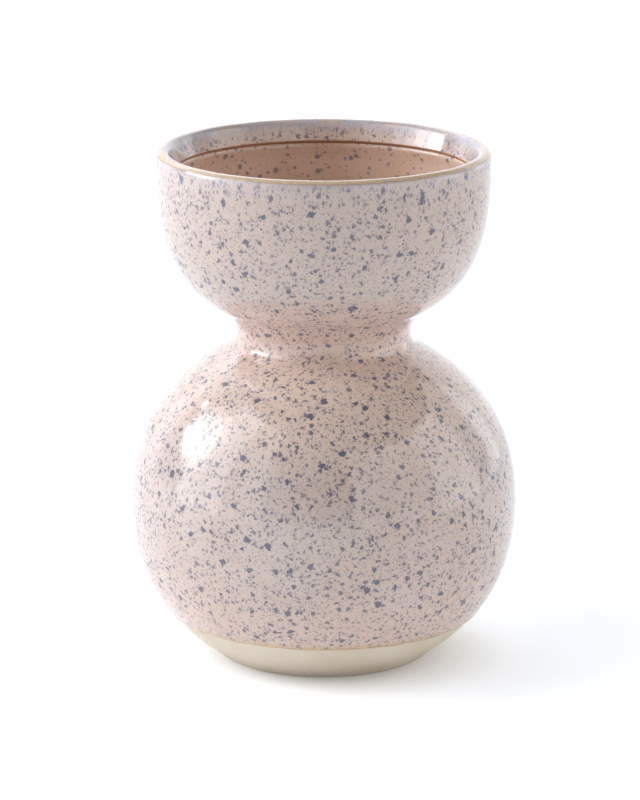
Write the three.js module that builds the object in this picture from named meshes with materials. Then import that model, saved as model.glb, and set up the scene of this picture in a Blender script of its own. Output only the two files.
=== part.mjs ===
// Ceramic bud vase: a round belly and an open cup that meet at a narrow waist.
// Every piece is turned about the z axis. Millimetres, +z up, origin at the middle of the foot.
import * as THREE from 'three';

// Driving dimensions
const height = 150;
const facets = 48; // flat sides round the axis, a multiple of four
const clayThickness = 4;
const glazeThickness = 0.4;
const gap = 0.05; // air left between neighbouring pieces

const belly = { radius: 56.8, halfHeight: 52.5, middle: 45.3, squareness: 2.116 };
const cup = { radius: 48.6, depth: 49.4, squareness: 2.81 };
const waist = { bottom: 92.15, top: 103.6, lowerHandle: 4.4, upperHandle: 4.8 };
const lip = {
  radius: 2.2,
  ledgeRadius: 42.15,
  collarLean: THREE.MathUtils.degToRad(25),
  seatDepth: 8.8, // from the top down to the rim's seat
};
const foot = { edge: 1, ringWidth: 4, recess: 1.8, floorTop: 7.5, floorFlat: 24 };
const glazeLine = 12.9; // height of the coat's lower edge
const joint = { start: 0.32, end: 0.45 }; // share of the waist's curve that the joining slip fills

// How many straight steps each part of the outline is cut into
const steps = {
  bare: 2,
  lowBelly: 4,
  highBelly: 7,
  lowNeck: 2,
  slip: 1,
  highNeck: 3,
  cup: 7,
  rimSide: 1,
  crest: 2,
  collar: 1,
  floor: 3,
};

// Worked out from them
const lipCentre = new THREE.Vector2(cup.radius - lip.radius, height - lip.radius);
const clayDepth = glazeThickness + gap; // the clay's outside, measured in from the finished surface
const insideDepth = clayDepth + clayThickness; // the clay's inside
const linerDepth = insideDepth + gap; // the inner glaze lies past the clay
const linerFace = linerDepth + glazeThickness;
const cupTop = lipCentre.y; // the cup's side stands upright here
const rimBottom = height - lip.seatDepth; // where the rim's ring sits on the cup

// Part of a superellipse, r outwards and z upwards, between two angles from the horizontal
class SuperellipseArc extends THREE.Curve {
  constructor(middle, radius, halfHeight, squareness, startAngle, endAngle) {
    super();
    Object.assign(this, { middle, radius, halfHeight, squareness, startAngle, endAngle });
  }

  getPoint(t, target = new THREE.Vector2()) {
    const angle = THREE.MathUtils.lerp(this.startAngle, this.endAngle, t);
    const power = 2 / this.squareness;
    const r = this.radius * Math.cos(angle) ** power;
    const rise = this.halfHeight * Math.sign(angle) * Math.abs(Math.sin(angle)) ** power;
    return target.set(r, this.middle + rise);
  }
}

// The angle of a superellipse's point at a height above or below its middle
function angleAt(rise, halfHeight, squareness) {
  const sine = Math.abs(rise / halfHeight) ** (squareness / 2);
  return Math.sign(rise) * Math.asin(sine);
}

function bellyArc(bottom, top) {
  const { radius, halfHeight, middle, squareness } = belly;
  const start = angleAt(bottom - middle, halfHeight, squareness);
  const end = angleAt(top - middle, halfHeight, squareness);
  return new SuperellipseArc(middle, radius, halfHeight, squareness, start, end);
}

function cupArc(bottom, top) {
  const { radius, depth, squareness } = cup;
  const start = angleAt(bottom - cupTop, depth, squareness);
  const end = angleAt(top - cupTop, depth, squareness);
  return new SuperellipseArc(cupTop, radius, depth, squareness, start, end);
}

// The waist leaves the belly and meets the cup along their own directions
function waistCurve(lower, upper) {
  const start = lower.getPoint(1);
  const end = upper.getPoint(0);
  const leaving = start.clone().addScaledVector(lower.getTangent(1), waist.lowerHandle);
  const arriving = end.clone().addScaledVector(upper.getTangent(0), -waist.upperHandle);
  return new THREE.CubicBezierCurve(start, leaving, arriving, end);
}

// The lip's round crest, then the collar that leans inwards down to the ledge
function crestCurve() {
  return new THREE.ArcCurve(lipCentre.x, lipCentre.y, lip.radius, 0, Math.PI - lip.collarLean, false);
}

function collarLine(crest) {
  const start = crest.getPoint(1);
  const length = (start.x - lip.ledgeRadius) / Math.sin(lip.collarLean);
  const along = new THREE.Vector2(-Math.sin(lip.collarLean), -Math.cos(lip.collarLean));
  return new THREE.LineCurve(start, start.clone().addScaledVector(along, length));
}

// Stations along part of a curve: a point, the way along the surface and the way into the wall
function stations(curve, count, from = 0, to = 1) {
  const list = [];
  for (let i = 0; i <= count; i += 1) {
    const t = THREE.MathUtils.lerp(from, to, i / count);
    const along = curve.getTangent(t);
    list.push({ point: curve.getPoint(t), along, into: new THREE.Vector2(-along.y, along.x) });
  }
  return list;
}

// Joins runs of stations that share their end points
function chain(...runs) {
  return runs.flatMap((run, index) => (index === 0 ? run : run.slice(1)));
}

// The points at a depth under the finished surface
function atDepth(run, depth) {
  return run.map(({ point, into }) => point.clone().addScaledVector(into, depth));
}

// Draws one or both ends of a run back, to leave air before the next piece
function drawnBack(run, distance, { start = true, end = true } = {}) {
  const shift = (station, by) => {
    const point = station.point.clone().addScaledVector(station.along, by);
    return { ...station, point };
  };
  return run.map((station, index) => {
    if (start && index === 0) return shift(station, distance);
    if (end && index === run.length - 1) return shift(station, -distance);
    return station;
  });
}

// The finished surface, from the foot's edge up the outside and over the lip to the ledge
const upperCurve = cupArc(waist.top, cupTop);
const bareRun = stations(bellyArc(foot.edge, glazeLine), steps.bare);
const bellyRun = chain(
  stations(bellyArc(glazeLine, belly.middle), steps.lowBelly),
  stations(bellyArc(belly.middle, waist.bottom), steps.highBelly),
);
const neckCurve = waistCurve(bellyArc(glazeLine, waist.bottom), upperCurve);
const lowerNeck = stations(neckCurve, steps.lowNeck, 0, joint.start);
const slipRun = stations(neckCurve, steps.slip, joint.start, joint.end);
const upperNeck = stations(neckCurve, steps.highNeck, joint.end, 1);
const cupRun = stations(cupArc(waist.top, rimBottom), steps.cup);
const rimSide = stations(cupArc(rimBottom, cupTop), steps.rimSide);
const crest = crestCurve();
const crestTop = Math.PI / 2 / (Math.PI - lip.collarLean); // the crest's highest point, as a share of it
const crestRun = chain(
  stations(crest, steps.crest, 0, crestTop),
  stations(crest, steps.crest, crestTop, 1),
);
const collarRun = stations(collarLine(crest), steps.collar);

// Turns an outline of (r, z) points into a closed solid about the z axis
function turned(name, outline, material) {
  const closed = outline[0].x === 0 ? outline : [...outline, outline[0].clone()];
  const geometry = new THREE.LatheGeometry(closed, facets);
  geometry.rotateX(Math.PI / 2);
  const mesh = new THREE.Mesh(geometry, material);
  mesh.name = name;
  return mesh;
}

function clay(color) {
  return new THREE.MeshStandardMaterial({ color, roughness: 0.85, metalness: 0 });
}

function glaze(color) {
  return new THREE.MeshStandardMaterial({ color, roughness: 0.15, metalness: 0 });
}

// The thick floor, from the inside's flat middle to the wall
function floorCurve(wallPoint, floorHeight) {
  const flatEdge = new THREE.Vector2(foot.floorFlat, floorHeight);
  const corner = new THREE.Vector2((foot.floorFlat + wallPoint.x) / 2, floorHeight);
  return new THREE.QuadraticBezierCurve(flatEdge, corner, wallPoint);
}

// The belly with the floor and the foot's ring, open at the waist
function lowerSection() {
  const outsideRun = drawnBack(chain(bareRun, bellyRun, lowerNeck), gap / 2, { start: false });
  const outside = atDepth(outsideRun, clayDepth);
  const insideRun = drawnBack(chain(bellyRun, lowerNeck), gap / 2, { start: false });
  const inside = atDepth(insideRun, insideDepth).reverse();
  const floorHeight = foot.floorTop - glazeThickness - gap;
  const floor = floorCurve(inside.at(-1), floorHeight).getPoints(steps.floor).reverse();
  const standing = outside[0].x - foot.edge;
  const ringInside = standing - foot.ringWidth;
  const outline = [
    new THREE.Vector2(0, foot.recess),
    new THREE.Vector2(ringInside - foot.recess, foot.recess),
    new THREE.Vector2(ringInside, 0),
    new THREE.Vector2(standing, 0),
    ...outside,
    ...inside,
    ...floor.slice(1),
    new THREE.Vector2(0, floorHeight),
  ];
  return turned('lower_section', outline, clay('#dcd0bc'));
}

// The band of slip that joins the two sections at the waist
function neckJoint() {
  const run = drawnBack(slipRun, gap / 2);
  const outline = [...atDepth(run, clayDepth), ...atDepth(run, insideDepth).reverse()];
  return turned('neck_joint', outline, clay('#d3c4ad'));
}

// The cup, from the waist to the seat of the rim
function upperSection() {
  const run = drawnBack(chain(upperNeck, cupRun), gap / 2);
  const outline = [...atDepth(run, clayDepth), ...atDepth(run, insideDepth).reverse()];
  return turned('upper_section', outline, clay('#dcd0bc'));
}

// The thick lip with its collar, whose lower edge overhangs the cup's wall as a ledge
function rimRing() {
  const surface = drawnBack(chain(rimSide, crestRun, collarRun), gap / 2);
  const outside = atDepth(surface, clayDepth);
  const seat = atDepth(surface, insideDepth)[0];
  const ledge = outside.at(-1);
  const underside = new THREE.Vector2(seat.x, ledge.y - (seat.x - ledge.x));
  return turned('rim_ring', [...outside, underside, seat], clay('#dcd0bc'));
}

// The speckled coat: up the outside, over the lip and down the collar to the ledge
function outerGlaze() {
  const run = chain(bellyRun, lowerNeck, slipRun, upperNeck, cupRun, rimSide, crestRun, collarRun);
  const outline = [...atDepth(run, 0), ...atDepth(run, glazeThickness).reverse()];
  return turned('outer_glaze', outline, glaze('#d9c6bb'));
}

// The coat inside: from under the ledge down through the neck and over the floor
function innerGlaze() {
  const run = drawnBack(chain(bellyRun, lowerNeck, slipRun, upperNeck, cupRun), gap / 2, { start: false });
  const back = atDepth(run, linerDepth);
  const face = atDepth(run, linerFace).reverse();
  const backFloor = floorCurve(back[0], foot.floorTop - glazeThickness).getPoints(steps.floor);
  const faceFloor = floorCurve(face.at(-1), foot.floorTop).getPoints(steps.floor).reverse();
  const outline = [
    new THREE.Vector2(0, foot.floorTop - glazeThickness),
    ...backFloor.slice(0, -1),
    ...back,
    ...face,
    ...faceFloor.slice(1),
    new THREE.Vector2(0, foot.floorTop),
  ];
  return turned('inner_glaze', outline, glaze('#d8b8a4'));
}

const vase = new THREE.Group();
vase.name = 'bud_vase';
vase.add(lowerSection(), neckJoint(), upperSection(), rimRing(), outerGlaze(), innerGlaze());

export default vase;
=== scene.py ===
import math
import bmesh
import bpy
from mathutils import Euler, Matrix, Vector, noise


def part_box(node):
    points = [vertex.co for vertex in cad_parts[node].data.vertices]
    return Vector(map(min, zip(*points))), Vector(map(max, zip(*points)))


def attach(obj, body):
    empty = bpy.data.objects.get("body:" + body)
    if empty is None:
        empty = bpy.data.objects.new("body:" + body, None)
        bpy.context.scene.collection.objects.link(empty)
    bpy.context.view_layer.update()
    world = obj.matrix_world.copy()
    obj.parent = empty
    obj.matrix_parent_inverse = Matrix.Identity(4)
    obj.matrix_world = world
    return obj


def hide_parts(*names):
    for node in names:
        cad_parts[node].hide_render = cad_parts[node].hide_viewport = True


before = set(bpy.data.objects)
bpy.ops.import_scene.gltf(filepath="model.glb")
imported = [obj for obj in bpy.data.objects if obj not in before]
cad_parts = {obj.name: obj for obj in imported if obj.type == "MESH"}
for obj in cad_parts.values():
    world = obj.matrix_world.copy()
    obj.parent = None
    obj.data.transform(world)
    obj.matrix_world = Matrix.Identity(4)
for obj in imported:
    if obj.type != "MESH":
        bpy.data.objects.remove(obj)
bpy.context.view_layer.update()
mm = 0.001

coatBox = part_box("outer_glaze")
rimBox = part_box("rim_ring")
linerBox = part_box("inner_glaze")
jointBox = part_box("neck_joint")

# the turned form, in millimetres, as the clay and the glaze share it
form = {
    "height": coatBox[1].z / mm,
    "bellyRadius": coatBox[1].x / mm,
    "bellyHalfHeight": 52.5,
    "bellyMiddle": 45.3,
    "bellySquareness": 2.116,
    "cupRadius": rimBox[1].x / mm + 0.45,
    "cupDepth": 49.4,
    "cupSquareness": 2.81,
    "waistBottom": 92.15,
    "waistTop": 103.6,
    "lowerHandle": 4.4,
    "upperHandle": 4.8,
    "lipRadius": 2.2,
    "ledgeRadius": 42.15,
    "collarLean": math.radians(25),
    "glaze": 0.4,
    "clayDepth": 0.42,          # how far the clay lies under the finished surface
    "glazeAir": 0.02,           # between a coat of glaze and the clay, and between the coats
    "clayThickness": 4.06,
    "glazeLine": coatBox[0].z / mm,
    "jointLow": jointBox[0].z / mm,
}
form["cupTop"] = form["height"] - form["lipRadius"]
form["insideDepth"] = form["clayDepth"] + form["clayThickness"]
form["linerBack"] = form["insideDepth"] + form["glazeAir"]
form["linerFace"] = form["insideDepth"] + form["glaze"] + form["glazeAir"]
form["linerSwell"] = 0.85       # the liner pools under the ledge


def bellyPoint(z):
    share = min(abs(z - form["bellyMiddle"]) / form["bellyHalfHeight"], 1.0)
    n = form["bellySquareness"]
    return Vector((form["bellyRadius"] * (1 - share ** n) ** (1 / n), z))


def cupPoint(z):
    share = min(max(form["cupTop"] - z, 0.0) / form["cupDepth"], 1.0)
    n = form["cupSquareness"]
    return Vector((form["cupRadius"] * (1 - share ** n) ** (1 / n), z))


def slopeAt(pointAt, z, step=0.01):
    return (pointAt(z + step) - pointAt(z - step)).normalized()


def waistPoint(t):
    start = bellyPoint(form["waistBottom"])
    end = cupPoint(form["waistTop"])
    leaving = start + slopeAt(bellyPoint, start.y) * form["lowerHandle"]
    arriving = end - slopeAt(cupPoint, end.y) * form["upperHandle"]
    u = 1 - t
    return start * u ** 3 + leaving * 3 * u * u * t + arriving * 3 * u * t * t + end * t ** 3


# a station is a point of the finished surface and the way into the wall there
def station(point, along):
    return point, Vector((-along.y, along.x)).normalized()


def bellyRun(low, high, count):
    def angle(z):
        return math.asin((z - form["bellyMiddle"]) / form["bellyHalfHeight"])
    run = []
    for i in range(count + 1):
        turn = angle(low) + (angle(high) - angle(low)) * i / count
        z = form["bellyMiddle"] + form["bellyHalfHeight"] * math.sin(turn)
        run.append(station(bellyPoint(z), slopeAt(bellyPoint, z)))
    return run


def waistRun(count, first=0.0, last=1.0, step=0.01):
    run = []
    for i in range(count + 1):
        t = first + (last - first) * i / count
        along = waistPoint(min(t + step, 1.0)) - waistPoint(max(t - step, 0.0))
        run.append(station(waistPoint(t), along))
    return run


def cupRun(low, high, count, crowding=1.5, clear=0.02):
    run = []
    for i in range(count + 1):
        z = low + (high - low) * (i / count) ** crowding      # closer together near the waist
        run.append(station(cupPoint(z), slopeAt(cupPoint, min(z, form["cupTop"] - clear))))
    return run


def crestRun(count):
    centre = Vector((form["cupRadius"] - form["lipRadius"], form["cupTop"]))
    run = []
    for i in range(count + 1):
        turn = (math.pi - form["collarLean"]) * i / count
        out = Vector((math.cos(turn), math.sin(turn)))
        run.append((centre + out * form["lipRadius"], -out))
    return run


def collarRun(count):
    start, into = crestRun(1)[-1]
    down = Vector((-math.sin(form["collarLean"]), -math.cos(form["collarLean"])))
    length = (start.x - form["ledgeRadius"]) / math.sin(form["collarLean"])
    return [(start + down * length * i / count, into) for i in range(count + 1)]


def chain(*runs):
    joined = list(runs[0])
    for run in runs[1:]:
        joined += run[1:]
    return joined


def atDepth(run, depth):
    return [point + into * depth for point, into in run]


# where the speckled coat ends under the ledge, and the liner's top edge meets it
def underLedge(ledge):
    wall = form["cupRadius"] - form["linerFace"] - form["linerSwell"]
    return Vector((wall, ledge.y - (wall - ledge.x)))


def lengthsAlong(points):
    lengths = [0.0]
    for a, b in zip(points, points[1:]):
        lengths.append(lengths[-1] + (b - a).length)
    return lengths


# rounds the corner at b of the path a, b, c, and takes up less than half of either side
def roundedCorner(a, b, c, radius, count=4, most=0.49):
    into = (a - b).normalized()
    away = (c - b).normalized()
    reach = min(radius, (a - b).length * most, (c - b).length * most)
    start, end = b + into * reach, b + away * reach
    points = []
    for i in range(count + 1):
        t = i / count
        points.append(start * (1 - t) ** 2 + b * 2 * t * (1 - t) + end * t * t)
    return points


# smooths a bmesh's faces and makes it an object in the scene
def pieceFrom(bm, name):
    for face in bm.faces:
        face.smooth = True
    mesh = bpy.data.meshes.new(name)
    bm.to_mesh(mesh)
    bm.free()
    piece = bpy.data.objects.new(name, mesh)
    bpy.context.scene.collection.objects.link(piece)
    return piece


# spins an outline of (r, z) points in millimetres about the z axis
# values holds one number for each point under each name, kept as attributes of the mesh
def turnedPiece(name, outline, steps, closed=True, values=None, shape=None, weld=0.002):
    bm = bmesh.new()
    layers = {key: bm.verts.layers.float.new(key) for key in (values or {})}
    verts = []
    for i, point in enumerate(outline):
        vert = bm.verts.new((point.x * mm, 0, point.y * mm))
        for key, layer in layers.items():
            vert[layer] = values[key][i]
        verts.append(vert)
    pairs = list(zip(verts, verts[1:]))
    if closed:
        pairs.append((verts[-1], verts[0]))
    edges = [bm.edges.new(pair) for pair in pairs]
    bmesh.ops.spin(bm, geom=verts + edges, cent=(0, 0, 0), axis=(0, 0, 1), dvec=(0, 0, 0),
                   angle=math.tau, steps=steps, use_merge=True)
    bmesh.ops.remove_doubles(bm, verts=bm.verts, dist=weld * mm)
    bmesh.ops.recalc_face_normals(bm, faces=bm.faces)
    if shape:
        shape(bm, layers)
    return pieceFrom(bm, name)


def smoothStep(low, high, value):
    t = min(max((value - low) / (high - low), 0.0), 1.0)
    return t * t * (3 - 2 * t)


# small helpers for shader trees: an output is linked, a number or a colour is set
def feed(tree, socket, value):
    if isinstance(value, bpy.types.NodeSocket):
        tree.links.new(value, socket)
    else:
        socket.default_value = value


def maths(tree, operation, a, b=0.0):
    node = tree.nodes.new("ShaderNodeMath")
    node.operation = operation
    feed(tree, node.inputs[0], a)
    feed(tree, node.inputs[1], b)
    return node.outputs[0]


def remap(tree, value, low, high, toLow=0.0, toHigh=1.0, kind="SMOOTHSTEP"):
    node = tree.nodes.new("ShaderNodeMapRange")
    node.interpolation_type = kind
    feed(tree, node.inputs["Value"], value)
    feed(tree, node.inputs["From Min"], low)
    feed(tree, node.inputs["From Max"], high)
    feed(tree, node.inputs["To Min"], toLow)
    feed(tree, node.inputs["To Max"], toHigh)
    return node.outputs["Result"]


def mixColour(tree, share, a, b):
    node = tree.nodes.new("ShaderNodeMix")
    node.data_type = "RGBA"
    feed(tree, node.inputs[0], share)
    feed(tree, node.inputs[6], a)
    feed(tree, node.inputs[7], b)
    return node.outputs[2]


def noiseField(tree, place, scale, detail=2.0, rough=0.5):
    node = tree.nodes.new("ShaderNodeTexNoise")
    feed(tree, node.inputs["Vector"], place)
    node.inputs["Scale"].default_value = scale
    node.inputs["Detail"].default_value = detail
    node.inputs["Roughness"].default_value = rough
    return node


def vectorMaths(tree, operation, a, b=None, scale=None):
    node = tree.nodes.new("ShaderNodeVectorMath")
    node.operation = operation
    feed(tree, node.inputs[0], a)
    if b is not None:
        feed(tree, node.inputs[1], b)
    if scale is not None:
        feed(tree, node.inputs["Scale"], scale)
    return node.outputs[0]


# object coordinates in millimetres
def placeInMillimetres(tree):
    node = tree.nodes.new("ShaderNodeTexCoord")
    return vectorMaths(tree, "SCALE", node.outputs["Object"], scale=1 / mm)


def attribute(tree, name):
    node = tree.nodes.new("ShaderNodeAttribute")
    node.attribute_name = name
    return node.outputs["Fac"]


def screenColour(red, green, blue):
    def linear(c):
        c /= 255
        return c / 12.92 if c <= 0.04045 else ((c + 0.055) / 1.055) ** 2.4
    return linear(red), linear(green), linear(blue), 1.0


def newMaterial(name):
    mat = bpy.data.materials.new(name)
    mat.use_nodes = True
    tree = mat.node_tree
    tree.nodes.clear()
    shader = tree.nodes.new("ShaderNodeBsdfPrincipled")
    output = tree.nodes.new("ShaderNodeOutputMaterial")
    tree.links.new(shader.outputs["BSDF"], output.inputs["Surface"])
    return mat, tree, shader


# the bump's depth is in millimetres
def bumpFrom(tree, shader, height, depth):
    node = tree.nodes.new("ShaderNodeBump")
    node.inputs["Distance"].default_value = depth * mm
    feed(tree, node.inputs["Height"], height)
    tree.links.new(node.outputs["Normal"], shader.inputs["Normal"])


# one layer of specks: blots of molten oxide, each a warped ball cut by the surface
# sizes are radii in millimetres, share is how many of the cells hold a blot
def speckLayer(tree, place, layer, blur, crowd):
    warp = noiseField(tree, place, 1 / layer["warpSize"], detail=3.0, rough=0.62)
    shift = vectorMaths(tree, "SUBTRACT", warp.outputs["Color"], (0.5, 0.5, 0.5))
    place = vectorMaths(tree, "ADD", place, vectorMaths(tree, "SCALE", shift, scale=layer["warp"]))
    turn = tree.nodes.new("ShaderNodeMapping")
    turn.inputs["Rotation"].default_value = [math.radians(a) for a in layer["turn"]]
    turn.inputs["Scale"].default_value = [1 / s for s in layer["stretch"]]
    turn.inputs["Location"].default_value = layer["offset"]
    feed(tree, turn.inputs["Vector"], place)
    cells = tree.nodes.new("ShaderNodeTexVoronoi")
    cells.inputs["Scale"].default_value = 1 / layer["cell"]
    cells.inputs["Randomness"].default_value = 1.0
    feed(tree, cells.inputs["Vector"], turn.outputs["Vector"])
    chance = tree.nodes.new("ShaderNodeSeparateColor")
    feed(tree, chance.inputs["Color"], cells.outputs["Color"])
    soft = maths(tree, "MULTIPLY", blur, layer["soft"] / layer["cell"])
    size = remap(tree, chance.outputs["Red"], 0.0, 1.0, layer["small"] / layer["cell"],
                 layer["large"] / layer["cell"], "LINEAR")
    filled = maths(tree, "LESS_THAN", chance.outputs["Green"], maths(tree, "MULTIPLY", crowd, layer["share"]))
    reach = maths(tree, "SUBTRACT", maths(tree, "MULTIPLY", filled, maths(tree, "ADD", size, soft)), soft)
    near = maths(tree, "SUBTRACT", reach, soft)
    far = maths(tree, "ADD", reach, soft)
    blot = remap(tree, cells.outputs["Distance"], near, far, 1.0, 0.0)
    return maths(tree, "MULTIPLY", blot, layer["dark"])


def allSpecks(tree, place, layers, blur, crowd):
    total = None
    for layer in layers:
        blot = speckLayer(tree, place, layer, blur, crowd)
        total = blot if total is None else maths(tree, "MAXIMUM", total, blot)
    return total


speckledCoat = {
    "steps": 288,
    "pale": screenColour(193, 177, 168),
    "rosy": screenColour(191, 171, 160),
    "skirt": screenColour(201, 174, 161),
    # lighter peach on the shoulder: painted light from above
    "paintedShoulderLight": screenColour(206, 183, 168),
    "warm": screenColour(198, 171, 157),
    "cupTone": screenColour(185, 167, 157),
    "ash": screenColour(170, 153, 146),
    "milky": screenColour(184, 177, 181),
    "tan": screenColour(206, 175, 136),
    "ochre": screenColour(188, 154, 104),
    "amber": screenColour(146, 110, 74),
    # dark amber at the ledge: the glaze breaks at its edge, and under it the colour is painted shade
    "ledgeAmberAndShade": screenColour(156, 104, 62),
    "iron": screenColour(160, 112, 62),
    "speckCore": screenColour(88, 88, 103),
    "speckEdge": screenColour(124, 116, 128),
    "speckMilky": screenColour(122, 124, 150),
    "roughness": 0.09,
    "speckRoughness": 0.15,
    "gloss": 1.55,
    "runFrom": 137.0,           # millimetres above the floor
    "run": 0.019,
    "ripple": 0.45,             # the bump's pattern and its depth in millimetres
    "rippleDepth": 0.04,
    "lineTilt": 0.35,           # the coat's lower edge, in millimetres up and down
    "tiltTurn": 0.15,
    "lineWander": 0.55,
    "lineWaves": ((0.55, 1.0), (1.7, 0.45), (4.1, 0.22)),
    "lineReach": 14,
    "lineHold": 0.7,
    "bead": 0.12,               # how far the glaze swells at its lower edge, where, and how wide
    "beadAt": 1.1,
    "beadWidth": 0.9,
    "peel": 0.015,
    "peelWaves": (6.5, 2.9),
    "peelSink": 0.9,
    "lipDip": 0.10,
    "lipDipWidth": 3.5,
    "ringRadius": 9,            # the waves round the vase are read on a ring of this size
    "ledgeRadius": 0.5,
    "ledgeSteps": 6,
    "backLift": 0.3,
    "ledgeTuck": (0.25, 0.35),
    "undersideTuck": (0.5, 0.35),
    "beadIn": 0.12,
    "beadUp": 0.2,
}

# how many stations each run of the coat has, on its face and on its back
coatFace = {"belly": 96, "waist": 14, "cup": 44, "crest": 14, "collar": 6}
coatBack = {"belly": 30, "waist": 8, "cup": 16, "crest": 8, "collar": 1}
crestTop = 8

# each span is from, to, the value before it and the value after it
# millimetres along the surface from the crest of the lip: outside is positive, the collar negative
lipSpans = {
    "near": (2.0, 14.0, 1.0, 0.0),
    "runInside": (-6.5, -2.5, 0.0, 1.0),
    "veilOutside": (2.2, 4.2, 0.35, 1.0),
    "veilInside": (-1.5, -4.5, 0.0, 1.0),
    "milkyOutside": (8.0, 2.5, 0.0, 1.0),
    "milkyInside": (-5.5, -1.5, 0.0, 0.85),
    "milkyThins": (1.0, 4.0, 1.0, 0.3),
    "collarWarms": (-3.2, -6.0, 0.0, 1.0),
    "tanStarts": (-1.3, -0.2, 0.0, 1.0),
    "tanEnds": (1.5, 2.4, 1.0, 0.0),
    "patchStarts": (-3.2, -2.2, 0.0, 1.0),
    "patchEnds": (-0.6, -1.4, 0.0, 1.0),
    "brownStarts": (1.6, 1.95, 0.0, 1.0),
    "brownEnds": (2.1, 2.5, 1.0, 0.0),
    "ledge": (-7.35, -7.8, 0.0, 1.0),
    "bluish": (3.0, 9.0, 0.25, 0.0),
}
# millimetres above the floor
heightSpans = {
    "skirt": (14.0, 40.0, 0.6, 0.0),
    # the shoulder, lightened with painted light from above
    "paintedShoulderLight": (60.0, 84.0, 0.0, 1.0),
    "waist": (86.0, 97.0, 0.0, 1.0),
    "cup": (103.0, 117.0, 0.0, 1.0),
}
# millimetres along the surface from the coat's lower edge
edgeSpans = {
    "line": (0.3, 1.0, 1.0, 0.0),
    "glow": (0.4, 2.8, 0.55, 0.0),
}
# the noises behind the mottling, and the spans of their values that count
coatNoises = {
    "patches": dict(scale=0.16, detail=2.0),
    "cloud": dict(scale=0.045, detail=3.0, rough=0.55),
    "grain": dict(scale=1.9, detail=3.0, rough=0.6),
    "ragged": dict(scale=0.07, detail=3.0, rough=0.5),
    "raggedFine": dict(scale=0.8, detail=3.0, rough=0.55),
}
noiseSpans = {
    "crowd": (0.3, 0.7, 0.65, 1.35, "LINEAR"),
    "blur": (0.0, 1.0, 1.0, 1.3, "LINEAR"),
    "cloud": (0.35, 0.65, 0.0, 1.0),
    "grain": (0.35, 0.7, 0.0, 0.3),
    "wide": (0.52, 0.62, 0.0, 1.0),
    "tanShare": (0.0, 1.0, 0.8, 1.0),
}
coatShares = {"fray": 0.8, "patch": 0.4, "brown": 0.4, "ledge": 0.9, "edgeLine": 0.8}

coatSpecks = [
    dict(cell=3.1, small=0.45, large=1.05, share=0.48, warp=3.0, warpSize=1.4, soft=0.13,
         stretch=(1, 1, 1), turn=(0, 0, 0), offset=(0, 0, 0), dark=0.95),
    dict(cell=2.05, small=0.3, large=0.74, share=0.6, warp=2.2, warpSize=1.0, soft=0.13,
         stretch=(1, 1, 1), turn=(20, 0, 40), offset=(7, 3, 1), dark=0.88),
    dict(cell=1.25, small=0.22, large=0.5, share=0.68, warp=1.1, warpSize=0.6, soft=0.13,
         stretch=(1, 1, 1), turn=(0, 30, 0), offset=(2, 9, 4), dark=0.76),
    dict(cell=0.8, small=0.15, large=0.32, share=0.66, warp=0.4, warpSize=0.5, soft=0.12,
         stretch=(1, 1, 1), turn=(10, 0, 70), offset=(5, 1, 8), dark=0.6),
    dict(cell=0.5, small=0.1, large=0.19, share=0.6, warp=0.2, warpSize=0.5, soft=0.1,
         stretch=(1, 1, 1), turn=(40, 10, 0), offset=(3, 8, 6), dark=0.45),
    dict(cell=1.6, small=0.18, large=0.34, share=0.3, warp=1.8, warpSize=3.0, soft=0.12,
         stretch=(3.4, 1, 1), turn=(0, 20, 30), offset=(1, 6, 2), dark=0.85),
    dict(cell=1.7, small=0.18, large=0.36, share=0.3, warp=1.8, warpSize=3.0, soft=0.12,
         stretch=(1, 1, 3.0), turn=(25, -15, 0), offset=(8, 2, 5), dark=0.85),
]
ironSpecks = dict(cell=5.0, small=0.3, large=0.55, share=0.06, warp=0.4, warpSize=0.8, soft=0.2,
                  stretch=(1, 1, 1), turn=(0, 0, 0), offset=(4, 4, 9), dark=0.5)


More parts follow.
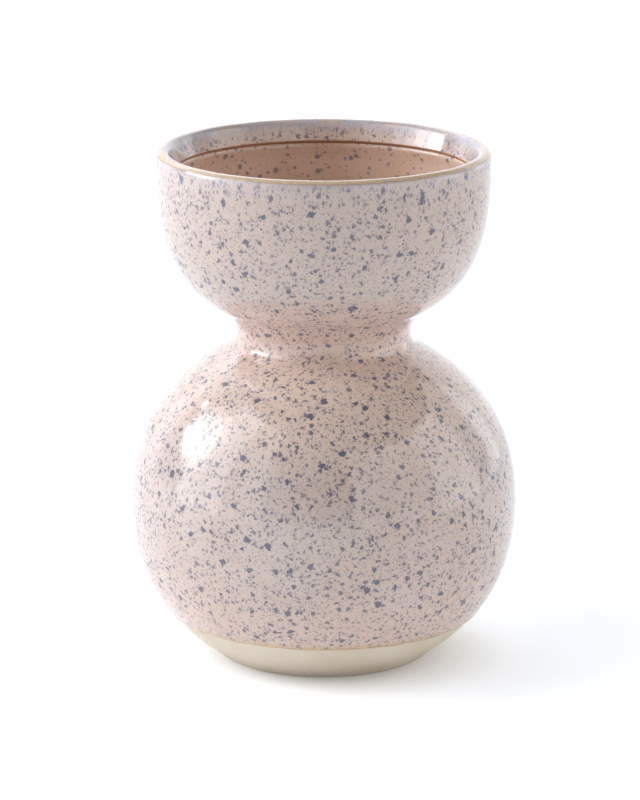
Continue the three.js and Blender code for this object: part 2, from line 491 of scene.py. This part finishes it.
def makeSpeckledCoat():
    care = speckledCoat
    run = chain(bellyRun(form["glazeLine"], form["waistBottom"], coatFace["belly"]),
                waistRun(coatFace["waist"]), cupRun(form["waistTop"], form["cupTop"], coatFace["cup"]),
                crestRun(coatFace["crest"]), collarRun(coatFace["collar"]))
    crestAt = len(run) - 1 - coatFace["collar"] - coatFace["crest"] + crestTop
    face = atDepth(run, 0)
    collarEnd = face[-1]
    underside = underLedge(collarEnd)
    corner = roundedCorner(face[-2], collarEnd, underside, care["ledgeRadius"], care["ledgeSteps"])
    face = face[:-1] + corner + [underside]
    backRun = chain(bellyRun(form["glazeLine"] + care["backLift"], form["waistBottom"], coatBack["belly"]),
                    waistRun(coatBack["waist"]), cupRun(form["waistTop"], form["cupTop"], coatBack["cup"]),
                    crestRun(coatBack["crest"]), collarRun(coatBack["collar"]))
    back = atDepth(backRun, form["glaze"])
    back[-1] = back[-1] + Vector(care["ledgeTuck"])
    undersideBack = underside + Vector(care["undersideTuck"])
    edge = [face[0] + Vector((-care["beadIn"], 0.0)), back[0] + Vector((0.0, -care["beadUp"]))]
    outline = edge[:1] + face + [undersideBack] + back[::-1] + edge[1:]
    along = lengthsAlong(face)
    fromLip = [along[crestAt] - v for v in along]
    behind = len(back) + 2
    values = {
        "fromLip": [fromLip[0]] + fromLip + [fromLip[-1]] * behind,
        "fromEdge": [0.0] + along + [along[-1]] * behind,
        "isFace": [0.0] + [1.0] * len(face) + [0.0] * behind,
    }

    # the lower edge wanders up and down along the belly's slope
    def edgeShift(p, around, ringed):
        wander = sum(weight * noise.noise(ringed * scale) for scale, weight in care["lineWaves"])
        turn = math.atan2(p.y, p.x)
        rise = care["lineWander"] * wander - care["lineTilt"] * math.cos(turn - care["tiltTurn"])
        rise *= 1 - smoothStep(0, care["lineReach"], p.z - form["glazeLine"])
        slope = slopeAt(bellyPoint, max(p.z, 1.0))
        slope = slope * (rise / max(slope.y, 0.2)) * care["lineHold"]
        return Vector((around.x * slope.x, around.y * slope.x, slope.y))

    # the face swells into a bead at the edge, is a little uneven, and its lip dips here and there
    def shape(bm, layers):
        for vert in bm.verts:
            p = vert.co / mm
            around = Vector((p.x, p.y)).normalized()
            ringed = Vector((around.x, around.y, 0)) * care["ringRadius"]
            if p.z < form["bellyMiddle"]:
                p += edgeShift(p, around, ringed)
            if vert[layers["isFace"]] > 0.5:
                fromBead = (vert[layers["fromEdge"]] - care["beadAt"]) / care["beadWidth"]
                swell = care["bead"] * math.exp(-fromBead ** 2)
                long, short = care["peelWaves"]
                peel = noise.noise(p / long) + 0.5 * noise.noise(p / short + Vector((5, 0, 0)))
                peel -= care["peelSink"]
                dip = care["lipDip"] * (1 + noise.noise(ringed * 0.5 + Vector((0, 0, 7))))
                dip *= math.exp(-(vert[layers["fromLip"]] / care["lipDipWidth"]) ** 2)
                p += vert.normal * (swell + care["peel"] * peel)
                p.z -= dip
            vert.co = p * mm

    return turnedPiece("speckledCoat", outline, care["steps"], values=values, shape=shape)


def coatNoise(tree, place, name):
    return noiseField(tree, place, **coatNoises[name]).outputs["Fac"]


def speckledGlazeFinish():
    care = speckledCoat
    mat, tree, shader = newMaterial("speckledGlaze")
    place = placeInMillimetres(tree)
    split = tree.nodes.new("ShaderNodeSeparateXYZ")
    feed(tree, split.inputs[0], place)
    height = split.outputs["Z"]
    fromLip = attribute(tree, "fromLip")
    fromEdge = attribute(tree, "fromEdge")
    nearLip = remap(tree, maths(tree, "ABSOLUTE", fromLip), *lipSpans["near"])

    # the melt ran down from the lip, so the specks are drawn out there
    overLip = maths(tree, "MAXIMUM", maths(tree, "SUBTRACT", height, care["runFrom"]), 0.0)
    drawn = maths(tree, "MULTIPLY", maths(tree, "MULTIPLY", overLip, overLip), care["run"])
    drawn = maths(tree, "MULTIPLY", drawn, remap(tree, fromLip, *lipSpans["runInside"]))
    together = tree.nodes.new("ShaderNodeCombineXYZ")
    feed(tree, together.inputs["X"], split.outputs["X"])
    feed(tree, together.inputs["Y"], split.outputs["Y"])
    feed(tree, together.inputs["Z"], maths(tree, "SUBTRACT", height, drawn))

    # specks crowd in some places, and thin out over the crest
    crowd = remap(tree, coatNoise(tree, place, "patches"), *noiseSpans["crowd"])
    blur = remap(tree, nearLip, *noiseSpans["blur"])
    specks = allSpecks(tree, together.outputs[0], coatSpecks, blur, crowd)
    veilOutside = remap(tree, fromLip, *lipSpans["veilOutside"])
    veilInside = remap(tree, fromLip, *lipSpans["veilInside"])
    specks = maths(tree, "MULTIPLY", specks, maths(tree, "MAXIMUM", veilOutside, veilInside))
    iron = speckLayer(tree, place, ironSpecks, 1.0, 1.0)

    # the mottled base, with its own tone at the foot, the waist and the cup, and a lighter, peachier shoulder
    # that is painted light from above
    cloud = coatNoise(tree, place, "cloud")
    grain = coatNoise(tree, place, "grain")
    base = mixColour(tree, remap(tree, cloud, *noiseSpans["cloud"]), care["pale"], care["rosy"])
    base = mixColour(tree, remap(tree, grain, *noiseSpans["grain"]), base, care["ash"])
    for zone, tone in (("skirt", "skirt"), ("paintedShoulderLight", "paintedShoulderLight"), ("waist", "warm"), ("cup", "cupTone")):
        base = mixColour(tree, remap(tree, height, *heightSpans[zone]), base, care[tone])

    # milky on both sides of the crest, and peach lower down the collar
    milky = maths(tree, "MULTIPLY", remap(tree, fromLip, *lipSpans["milkyOutside"]),
                  remap(tree, fromLip, *lipSpans["milkyInside"]))
    milky = maths(tree, "MULTIPLY", milky, remap(tree, fromLip, *lipSpans["milkyThins"]))
    base = mixColour(tree, milky, base, care["milky"])
    base = mixColour(tree, remap(tree, fromLip, *lipSpans["collarWarms"]), base, care["warm"])

    # tan over the crest with a frayed brown edge outside, and dark amber at the ledge, partly the glaze
    # breaking at its edge and partly painted shade on the ledge's underside
    wide = remap(tree, coatNoise(tree, place, "ragged"), *noiseSpans["wide"])
    fray = maths(tree, "SUBTRACT", coatNoise(tree, place, "raggedFine"), 0.5)
    fray = maths(tree, "MULTIPLY", fray, coatShares["fray"])
    frayed = maths(tree, "ADD", fromLip, fray)
    crest = maths(tree, "MULTIPLY", remap(tree, frayed, *lipSpans["tanStarts"]),
                  remap(tree, frayed, *lipSpans["tanEnds"]))
    crest = maths(tree, "MULTIPLY", crest, remap(tree, wide, *noiseSpans["tanShare"]))
    inner = maths(tree, "MULTIPLY", remap(tree, frayed, *lipSpans["patchStarts"]),
                  remap(tree, frayed, *lipSpans["patchEnds"]))
    inner = maths(tree, "MULTIPLY", inner, maths(tree, "MULTIPLY", wide, coatShares["patch"]))
    base = mixColour(tree, maths(tree, "MAXIMUM", crest, inner), base, care["tan"])
    brown = maths(tree, "MULTIPLY", remap(tree, frayed, *lipSpans["brownStarts"]),
                  remap(tree, frayed, *lipSpans["brownEnds"]))
    # the ledge's mask runs over its corner and underside: glaze breaking at the edge, painted shade below it
    ledge = remap(tree, fromLip, *lipSpans["ledge"])

    # an ochre line above the bare foot
    frayedEdge = maths(tree, "ADD", fromEdge, fray)
    edgeLine = remap(tree, frayedEdge, *edgeSpans["line"])
    base = mixColour(tree, remap(tree, frayedEdge, *edgeSpans["glow"]), base, care["ochre"])

    speckTone = mixColour(tree, specks, care["speckEdge"], care["speckCore"])
    bluish = remap(tree, maths(tree, "ABSOLUTE", fromLip), *lipSpans["bluish"])
    speckTone = mixColour(tree, bluish, speckTone, care["speckMilky"])
    colour = mixColour(tree, specks, base, speckTone)
    colour = mixColour(tree, iron, colour, care["iron"])
    colour = mixColour(tree, maths(tree, "MULTIPLY", brown, coatShares["brown"]), colour, care["amber"])
    colour = mixColour(tree, maths(tree, "MULTIPLY", ledge, coatShares["ledge"]), colour, care["ledgeAmberAndShade"])
    edgeLine = maths(tree, "MULTIPLY", edgeLine, coatShares["edgeLine"])
    colour = mixColour(tree, edgeLine, colour, care["ochre"])
    tree.links.new(colour, shader.inputs["Base Color"])

    gloss = remap(tree, specks, 0.0, 1.0, care["roughness"], care["speckRoughness"], "LINEAR")
    tree.links.new(gloss, shader.inputs["Roughness"])
    shader.inputs["IOR"].default_value = care["gloss"]
    ripple = noiseField(tree, place, care["ripple"], detail=2.0, rough=0.45).outputs["Fac"]
    bumpFrom(tree, shader, ripple, care["rippleDepth"])
    return mat


liner = {
    "steps": 192,
    "floorTop": linerBox[0].z / mm + form["glaze"],
    "floorFlat": 24.0,
    "topAir": 0.02,
    "swellHeight": 5.0,
    "peach": screenColour(207, 172, 150),
    "pale": screenColour(211, 180, 161),
    "cloud": 0.06,
    "roughness": 0.12,
    "ripple": 0.35,
    "rippleDepth": 0.06,
}

linerSpecks = [
    dict(cell=3.0, small=0.4, large=0.95, share=0.62, warp=0.8, warpSize=1.2, soft=0.2,
         stretch=(1, 1, 1), turn=(0, 0, 15), offset=(3, 2, 6), dark=0.75),
    dict(cell=1.8, small=0.22, large=0.55, share=0.6, warp=0.5, warpSize=0.9, soft=0.18,
         stretch=(1, 1, 1), turn=(0, 0, 50), offset=(1, 7, 3), dark=0.65),
    dict(cell=1.0, small=0.12, large=0.3, share=0.5, warp=0.3, warpSize=0.6, soft=0.15,
         stretch=(1, 1, 1), turn=(30, 0, 0), offset=(5, 2, 7), dark=0.5),
]


# a flat floor from the axis, and then a curve up to the wall
def floorRun(wallPoint, height, count, flatSteps=6):
    flatEdge = Vector((liner["floorFlat"], height))
    corner = Vector(((liner["floorFlat"] + wallPoint.x) / 2, height))
    points = [Vector((liner["floorFlat"] * i / flatSteps, height)) for i in range(flatSteps)]
    for i in range(count):
        t = i / count
        points.append(flatEdge * (1 - t) ** 2 + corner * 2 * t * (1 - t) + wallPoint * t * t)
    return points


def makeLiner():
    top = underLedge(collarRun(1)[-1][0]).y - liner["topAir"]
    run = chain(bellyRun(form["glazeLine"], form["waistBottom"], 60), waistRun(14),
                cupRun(form["waistTop"], top, 40))
    face = []
    for point, into in run:
        swell = form["linerSwell"] * smoothStep(top - liner["swellHeight"], top, point.y)
        face.append(point + into * (form["linerFace"] + swell))
    face = floorRun(face[0], liner["floorTop"], 10) + face
    backRun = chain(bellyRun(form["glazeLine"], form["waistBottom"], 24), waistRun(8),
                    cupRun(form["waistTop"], top, 12))
    back = atDepth(backRun, form["linerBack"])
    back = floorRun(back[0], liner["floorTop"] - form["glaze"], 4) + back
    outline = face + back[::-1]
    return turnedPiece("linerCoat", outline, liner["steps"], closed=False)


def linerFinish():
    mat, tree, shader = newMaterial("linerGlaze")
    place = placeInMillimetres(tree)
    cloud = noiseField(tree, place, liner["cloud"], detail=3.0).outputs["Fac"]
    base = mixColour(tree, remap(tree, cloud, 0.35, 0.65), liner["peach"], liner["pale"])
    specks = allSpecks(tree, place, linerSpecks, 1.0, 1.0)
    speckTone = mixColour(tree, specks, speckledCoat["speckEdge"], speckledCoat["speckCore"])
    colour = mixColour(tree, specks, base, speckTone)
    tree.links.new(colour, shader.inputs["Base Color"])
    shader.inputs["Roughness"].default_value = liner["roughness"]
    ripple = noiseField(tree, place, liner["ripple"], detail=2.0, rough=0.45).outputs["Fac"]
    bumpFrom(tree, shader, ripple, liner["rippleDepth"])
    return mat


stoneware = {
    "steps": 256,
    "cream": screenColour(206, 195, 179),
    "sand": screenColour(196, 180, 159),
    "grog": screenColour(160, 134, 104),
    "roughness": 0.86,
    "grainDepth": 0.08,
    "footEdge": 1.0,
    "ringWidth": 4.0,
    "recess": 1.8,
    "recessRadius": 0.7,
    "footRadius": 0.5,
    "recessRings": (0.4, 0.75),
    "floorTop": liner["floorTop"] - 0.42,
    "waistShare": 0.3,          # how far up the waist the lower clay's runs are drawn
    "cupStart": 0.47,           # where on the waist the upper clay starts
}

grogSpecks = dict(cell=1.5, small=0.05, large=0.16, share=0.3, warp=0.2, warpSize=0.5, soft=0.08,
                  stretch=(1, 1, 1), turn=(0, 0, 0), offset=(0, 0, 0), dark=0.5)


def makeLowerClay():
    care = stoneware
    outside = atDepth(chain(bellyRun(care["footEdge"], form["glazeLine"] + 1, 18),
                            bellyRun(form["glazeLine"] + 1, form["waistBottom"], 36),
                            waistRun(4, 0, care["waistShare"])), form["clayDepth"])
    outside = [p for p in outside if p.y <= form["jointLow"]]
    inside = atDepth(chain(bellyRun(form["glazeLine"], form["waistBottom"], 36),
                           waistRun(4, 0, care["waistShare"])), form["insideDepth"])
    inside = [p for p in inside if p.y <= form["jointLow"]]
    floor = floorRun(inside[0], care["floorTop"], 6)
    standing = outside[0].x - care["footEdge"]
    ringInside = standing - care["ringWidth"]
    corners = [Vector((ringInside - care["recess"], care["recess"])), Vector((ringInside, 0)),
               Vector((standing, 0)), outside[0]]
    foot = [Vector((0, care["recess"]))]
    foot += [Vector((ringInside * share, care["recess"])) for share in care["recessRings"]]
    foot += roundedCorner(foot[-1], corners[0], corners[1], care["recessRadius"])
    foot += roundedCorner(corners[0], corners[1], corners[2], care["footRadius"])
    foot += roundedCorner(corners[1], corners[2], corners[3], care["footRadius"])
    outline = foot + outside + inside[::-1] + floor[::-1]
    return turnedPiece("lowerClay", outline, care["steps"], closed=False)


def makeUpperClay():
    run = chain(waistRun(12, stoneware["cupStart"], 1.0), cupRun(form["waistTop"], rimBox[0].z / mm, 24))
    outline = atDepth(run, form["clayDepth"]) + atDepth(run, form["insideDepth"])[::-1]
    return turnedPiece("upperClay", outline, stoneware["steps"] // 2)


def stonewareFinish():
    care = stoneware
    mat, tree, shader = newMaterial("bareStoneware")
    place = placeInMillimetres(tree)
    cloud = noiseField(tree, place, 0.08, detail=4.0, rough=0.6).outputs["Fac"]
    grain = noiseField(tree, place, 3.2, detail=3.0, rough=0.7).outputs["Fac"]
    base = mixColour(tree, remap(tree, cloud, 0.35, 0.7, 0.0, 0.6), care["cream"], care["sand"])
    base = mixColour(tree, remap(tree, grain, 0.45, 0.75, 0.0, 0.35), base, care["sand"])
    specks = speckLayer(tree, place, grogSpecks, 1.0, 1.0)
    colour = mixColour(tree, specks, base, care["grog"])
    tree.links.new(colour, shader.inputs["Base Color"])
    shader.inputs["Roughness"].default_value = care["roughness"]
    bumpFrom(tree, shader, grain, care["grainDepth"])
    return mat


# gives a piece its material, puts it under the root, and hides the CAD nodes it stands in for
def dress(piece, material, slot, *nodes):
    piece.data.materials.clear()
    piece.data.materials.append(material)
    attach(piece, "root")
    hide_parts(*nodes)


clay = stonewareFinish()
dress(makeLowerClay(), clay, "stoneware", "lower_section")
print("lower clay made")
dress(makeUpperClay(), clay, "stoneware", "upper_section")
print("upper clay made")
# glaze hides these two on both sides, so they stay as they are
for cadNode in ("neck_joint", "rim_ring"):
    carried = bpy.data.objects[cadNode]
    carried.data.materials.clear()
    carried.data.materials.append(clay)
dress(makeSpeckledCoat(), speckledGlazeFinish(), "speckled_glaze", "outer_glaze")
print("speckled coat made")
dress(makeLiner(), linerFinish(), "liner_glaze", "inner_glaze")
print("liner made")

# a pale sweep under and behind the vase, in metres; near the vase it glows with painted light over the vase's
# cast shadow
sweep = {
    "width": 7.0,
    "front": -3.5,
    "back": 2.4,
    "rise": 2.2,
    "bend": 0.7,
    "bendSteps": 12,
    "paper": (0.9, 0.9, 0.9, 1),
    "roughness": 0.9,
    "tint": (0.9, 0.95, 1.0, 1),
    # a ring of glow round the vase: painted light over the vase's cast shadow on the floor
    "nearGlow": (0.028, 0.06, 0.0, 0.37),
    "nearFades": (0.15, 0.5, 1.0, 0.6),
    "farGlow": (0.1, 2.2, 0.0, 0.75),
    "wallGlow": (1.15, 1.9, 0.0, 0.75),
}


def makeSweep():
    bm = bmesh.new()
    half = sweep["width"] / 2
    flat = sweep["back"] - sweep["bend"]
    path = [(sweep["front"], 0.0), (flat, 0.0)]
    for i in range(1, sweep["bendSteps"] + 1):
        turn = math.pi / 2 * i / sweep["bendSteps"]
        path.append((flat + sweep["bend"] * math.sin(turn), sweep["bend"] - sweep["bend"] * math.cos(turn)))
    path.append((sweep["back"], sweep["rise"]))
    verts = [bm.verts.new((-half, y, z)) for y, z in path]
    edges = [bm.edges.new(pair) for pair in zip(verts, verts[1:])]
    grown = bmesh.ops.extrude_edge_only(bm, edges=edges)
    moved = [item for item in grown["geom"] if isinstance(item, bmesh.types.BMVert)]
    bmesh.ops.translate(bm, verts=moved, vec=(sweep["width"], 0, 0))
    bmesh.ops.recalc_face_normals(bm, faces=bm.faces)
    piece = pieceFrom(bm, "paleSweep")
    mat, tree, shader = newMaterial("palePaper")
    shader.inputs["Base Color"].default_value = sweep["paper"]
    shader.inputs["Roughness"].default_value = sweep["roughness"]
    place = tree.nodes.new("ShaderNodeTexCoord").outputs["Object"]
    split = tree.nodes.new("ShaderNodeSeparateXYZ")
    feed(tree, split.inputs[0], place)
    length = tree.nodes.new("ShaderNodeVectorMath")
    length.operation = "LENGTH"
    feed(tree, length.inputs[0], place)
    distance = length.outputs["Value"]
    # the floor glows most in a ring round the vase, painted light that lifts the vase's cast shadow
    nearGlow = remap(tree, distance, *sweep["nearGlow"])
    nearGlow = maths(tree, "MULTIPLY", nearGlow, remap(tree, distance, *sweep["nearFades"]))
    farGlow = remap(tree, split.outputs["Y"], *sweep["farGlow"])
    farGlow = maths(tree, "MAXIMUM", farGlow, remap(tree, distance, *sweep["wallGlow"]))
    tree.links.new(maths(tree, "ADD", nearGlow, farGlow), shader.inputs["Emission Strength"])
    shader.inputs["Emission Color"].default_value = sweep["tint"]
    piece.data.materials.append(mat)


makeSweep()

# pale walls close the studio on the other sides, for the camera only: they light nothing
walls = {
    "half": 3.45,
    "front": -3.45,
    "height": 2.4,
    "corner": 0.8,
    "cornerSteps": 8,
    "paint": (0.03, 0.03, 0.03, 1),
    "roughness": 0.95,
    "glow": 0.95,
    "tint": (0.96, 0.98, 1.0, 1),
}


def makeWalls():
    bm = bmesh.new()
    corners = [(-walls["half"], sweep["back"]), (-walls["half"], walls["front"]),
               (walls["half"], walls["front"]), (walls["half"], sweep["back"])]
    verts = [bm.verts.new((x, y, 0.0)) for x, y in corners]
    for pair in zip(verts, verts[1:]):
        bm.edges.new(pair)
    bmesh.ops.bevel(bm, geom=verts[1:3], offset=walls["corner"], offset_type="OFFSET",
                    segments=walls["cornerSteps"], profile=0.5, affect="VERTICES", material=-1)
    grown = bmesh.ops.extrude_edge_only(bm, edges=list(bm.edges))
    moved = [item for item in grown["geom"] if isinstance(item, bmesh.types.BMVert)]
    bmesh.ops.translate(bm, verts=moved, vec=(0, 0, walls["height"]))
    piece = pieceFrom(bm, "paleWalls")
    mat, tree, shader = newMaterial("paleWall")
    shader.inputs["Base Color"].default_value = walls["paint"]
    shader.inputs["Roughness"].default_value = walls["roughness"]
    shader.inputs["Specular IOR Level"].default_value = 0.0
    shader.inputs["Emission Color"].default_value = walls["tint"]
    shader.inputs["Emission Strength"].default_value = walls["glow"]
    piece.data.materials.append(mat)
    piece.visible_diffuse = False
    piece.visible_glossy = False
    piece.visible_shadow = False


makeWalls()

# lights stand round the vase: azimuth 0 is the camera's side, positive to the right
# glow is how bright the lamp's face is, and the key is three lamps inside each other
lights = {
    "keyWide": dict(azimuth=-95, elevation=29, away=1.3, width=0.8, height=0.84, glow=2.1),
    "keyMiddle": dict(azimuth=-97, elevation=28, away=1.28, width=0.58, height=0.58, glow=3.6),
    "keyCore": dict(azimuth=-103, elevation=24, away=1.25, width=0.32, height=0.3, glow=6.5),
    "keyPane": dict(azimuth=-119, elevation=34, away=1.25, width=0.08, height=0.06, glow=16.0),
    "backTop": dict(azimuth=-162, elevation=42, away=1.38, width=1.5, height=1.0, glow=0.8),
    "backTopCore": dict(azimuth=-162, elevation=40, away=1.35, width=0.9, height=0.5, glow=0.9),
}

# tall white cards stand on the floor from one edge to the other, each an (azimuth, metres away)
cards = {
    "rightCard": dict(near=(17, 1.25), far=(42, 1.3), height=1.25, glow=1.22),
    "rightSide": dict(near=(42, 1.3), far=(72, 1.35), height=1.25, glow=1.35),
    "rightWall": dict(near=(72, 1.35), far=(105, 1.35), height=1.25, glow=2.3),
    "rightBack": dict(near=(105, 1.35), far=(137, 1.35), height=1.25, glow=1.05),
    "leftFront": dict(near=(-12, 1.3), far=(-36, 1.35), height=2.2, glow=0.1),
    "leftSide": dict(near=(-36, 1.35), far=(-62, 1.4), height=2.2, glow=1.5),
    "leftWall": dict(near=(-62, 1.4), far=(-95, 1.4), height=2.2, glow=3.5),
    "leftBack": dict(near=(-95, 1.5), far=(-140, 1.5), height=2.2, glow=0.8),
}


# the light that comes off the backdrop is a little blue
lightTones = {
    "backTop": (0.84, 0.92, 1.1),
    "backTopCore": (0.84, 0.92, 1.1),
    "leftWall": (0.95, 0.99, 1.07),
    "leftBack": (0.84, 0.92, 1.1),
    "rightBack": (0.88, 0.94, 1.06),
    "keyWide": (0.94, 1.0, 1.06),
}


def towards(azimuth, elevation=0.0):
    turn, lift = math.radians(azimuth), math.radians(elevation)
    return Vector((math.sin(turn) * math.cos(lift), -math.cos(turn) * math.cos(lift), math.sin(lift)))


def addLight(name, place, facing, width, height, glow, shape):
    data = bpy.data.lights.new(name, "AREA")
    data.shape = shape
    data.size = width
    data.size_y = height
    area = width * height * (math.pi / 4 if shape == "ELLIPSE" else 1)
    data.energy = glow * math.pi * area
    data.color = lightTones.get(name, (1.0, 1.0, 1.0))
    light = bpy.data.objects.new(name, data)
    light.location = place
    light.rotation_euler = facing.to_track_quat("-Z", "Y").to_euler()
    light.visible_camera = False
    bpy.context.scene.collection.objects.link(light)


cardLift = 0.01
middle = Vector((0, 0, form["height"] * mm / 2))
for name, care in lights.items():
    way = towards(care["azimuth"], care["elevation"])
    addLight(name, middle + way * care["away"], -way, care["width"], care["height"], care["glow"], "ELLIPSE")
for name, care in cards.items():
    near, far = (towards(turn) * away for turn, away in (care["near"], care["far"]))
    across = far - near
    place = (near + far) / 2
    facing = Vector((across.y, -across.x, 0)).normalized()
    if facing.dot(place) > 0:
        facing = -facing
    place.z = care["height"] / 2 + cardLift
    addLight(name, place, facing, across.length, care["height"], care["glow"], "RECTANGLE")

studio = {"tint": (0.93, 0.94, 1.0, 1), "strength": 0.02}
world = bpy.data.worlds.new("studio")
bpy.context.scene.world = world
world.use_nodes = True
background = world.node_tree.nodes["Background"]
background.inputs["Color"].default_value = studio["tint"]
background.inputs["Strength"].default_value = studio["strength"]
bpy.context.scene.view_settings.view_transform = "Standard"
print("studio lit")

view = {"away": 1.25, "down": math.radians(14.45), "lens": 192.2, "aside": -0.001,
        "sensor": 36, "near": 0.05, "far": 20}
cameraData = bpy.data.cameras.new("camera")
cameraData.lens = view["lens"]
cameraData.sensor_width = view["sensor"]
cameraData.clip_start = view["near"]
cameraData.clip_end = view["far"]
camera = bpy.data.objects.new("camera", cameraData)
camera.location = (view["aside"], -view["away"] * math.cos(view["down"]),
                   form["height"] * mm / 2 + view["away"] * math.sin(view["down"]))
camera.rotation_euler = Euler((math.pi / 2 - view["down"], 0, 0))
bpy.context.scene.collection.objects.link(camera)
bpy.context.scene.camera = camera
